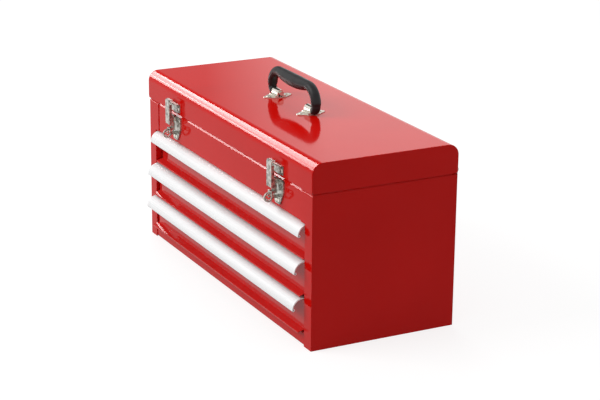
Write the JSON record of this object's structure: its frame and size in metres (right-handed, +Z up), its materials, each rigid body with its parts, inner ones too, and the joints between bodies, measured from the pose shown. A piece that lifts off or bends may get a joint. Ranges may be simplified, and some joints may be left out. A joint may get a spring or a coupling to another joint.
{
  "type": "portable tool box with drawers",
  "caption": "Portable steel tool box: lidded till with draw latches and a folding handle, above full-width drawers on ball slides.",
  "frame": {"origin": "centre of the cabinet's base, on the surface it stands on", "axes": "+X along the length to the right seen from the front, +Y to the back, +Z up"},
  "size_m": [0.5224, 0.2381, 0.2955],
  "materials": {
    "red_paint": "gloss red enamel",
    "satin_aluminium": "satin anodised",
    "nickel_plate": "bright nickel plate",
    "black_vinyl": "semi-gloss vinyl",
    "zinc_plate": "zinc plate"
  },
  "bodies": {
    "cabinet": {"side_panel_left": "red_paint", "side_panel_right": "red_paint", "back_panel": "red_paint", "bottom_panel": "red_paint", "apron_panel": "red_paint", "bottom_rail": "red_paint", "till_floor": "red_paint", "uprights_front": "red_paint", "uprights_rear": "red_paint", "hinge_leaf_body": "zinc_plate", "hinge_pin": "zinc_plate", "hinge_rivets_body": "zinc_plate", "latch_base_left": "nickel_plate", "latch_base_right": "nickel_plate", "padlock_eye_left": "nickel_plate", "padlock_eye_right": "nickel_plate", "lever_pin_left": "nickel_plate", "lever_pin_right": "nickel_plate", "latch_rivets": "nickel_plate", "slide_1_fixed": "zinc_plate", "slide_2_fixed": "zinc_plate", "slide_3_fixed": "zinc_plate"},
    "lid": {"lid_sheet": "red_paint", "lid_end_left": "red_paint", "lid_end_right": "red_paint", "hinge_leaf_lid": "zinc_plate", "hinge_rivets_lid": "zinc_plate", "lid_catch_left": "nickel_plate", "lid_catch_right": "nickel_plate", "catch_rivets": "nickel_plate", "handle_plate_left": "nickel_plate", "handle_plate_right": "nickel_plate", "handle_strap_left": "nickel_plate", "handle_strap_right": "nickel_plate", "handle_rivets": "nickel_plate"},
    "handle": {"handle_bail": "nickel_plate", "handle_grip": "black_vinyl"},
    "latch_left": {"latch_lever_left": "nickel_plate", "hook_pin_left": "nickel_plate"},
    "hook_left": {"draw_hook_left": "nickel_plate"},
    "latch_right": {"latch_lever_right": "nickel_plate", "hook_pin_right": "nickel_plate"},
    "hook_right": {"draw_hook_right": "nickel_plate"},
    "drawer_1": {"drawer_1_front": "red_paint", "drawer_1_pull": "satin_aluminium", "drawer_1_tray": "red_paint", "drawer_1_runners": "zinc_plate"},
    "ball_cages_1": {"slide_1_ball_cages": "zinc_plate"},
    "drawer_2": {"drawer_2_front": "red_paint", "drawer_2_pull": "satin_aluminium", "drawer_2_tray": "red_paint", "drawer_2_runners": "zinc_plate"},
    "ball_cages_2": {"slide_2_ball_cages": "zinc_plate"},
    "drawer_3": {"drawer_3_front": "red_paint", "drawer_3_pull": "satin_aluminium", "drawer_3_tray": "red_paint", "drawer_3_runners": "zinc_plate"},
    "ball_cages_3": {"slide_3_ball_cages": "zinc_plate"}
  },
  "joints": [
    {"name": "lid_hinge", "type": "hinge", "parent": "cabinet", "child": "lid", "pos_m": [0, 0.1088, 0.2145], "axis": [-1, 0, 0], "range_deg": [0, 95]},
    {"name": "handle_pivot", "type": "hinge", "parent": "lid", "child": "handle", "pos_m": [0, 0, 0.258], "axis": [1, 0, 0], "range_deg": [-80, 80]},
    {"name": "latch_left_lever", "type": "hinge", "parent": "cabinet", "child": "latch_left", "pos_m": [-0.164, -0.1148, 0.206], "axis": [-1, 0, 0], "range_deg": [0, 80]},
    {"name": "latch_left_hook", "type": "hinge", "parent": "latch_left", "child": "hook_left", "pos_m": [-0.164, -0.1142, 0.197], "axis": [1, 0, 0], "range_deg": [0, 88]},
    {"name": "latch_right_lever", "type": "hinge", "parent": "cabinet", "child": "latch_right", "pos_m": [0.164, -0.1148, 0.206], "axis": [-1, 0, 0], "range_deg": [0, 80]},
    {"name": "latch_right_hook", "type": "hinge", "parent": "latch_right", "child": "hook_right", "pos_m": [0.164, -0.1142, 0.197], "axis": [1, 0, 0], "range_deg": [0, 88]},
    {"name": "drawer_1_slide", "type": "slide", "parent": "cabinet", "child": "drawer_1", "axis": [0, -1, 0], "range_m": [0, 0.13]},
    {"name": "ball_cages_1_slide", "type": "slide", "parent": "cabinet", "child": "ball_cages_1", "axis": [0, -1, 0], "range_m": [0, 0.065]},
    {"name": "drawer_2_slide", "type": "slide", "parent": "cabinet", "child": "drawer_2", "axis": [0, -1, 0], "range_m": [-0.005, 0.125]},
    {"name": "ball_cages_2_slide", "type": "slide", "parent": "cabinet", "child": "ball_cages_2", "axis": [0, -1, 0], "range_m": [-0.0025, 0.0625]},
    {"name": "drawer_3_slide", "type": "slide", "parent": "cabinet", "child": "drawer_3", "axis": [0, -1, 0], "range_m": [-0.007, 0.123]},
    {"name": "ball_cages_3_slide", "type": "slide", "parent": "cabinet", "child": "ball_cages_3", "axis": [0, -1, 0], "range_m": [-0.0035, 0.0615]}
  ],
  "couplings": [
    {"joint": "latch_left_hook", "follows": "latch_left_lever", "ratio": 1.1},
    {"joint": "latch_right_hook", "follows": "latch_right_lever", "ratio": 1.1},
    {"joint": "ball_cages_1_slide", "follows": "drawer_1_slide", "ratio": 0.5},
    {"joint": "ball_cages_2_slide", "follows": "drawer_2_slide", "ratio": 0.5},
    {"joint": "ball_cages_3_slide", "follows": "drawer_3_slide", "ratio": 0.5}
  ]
}
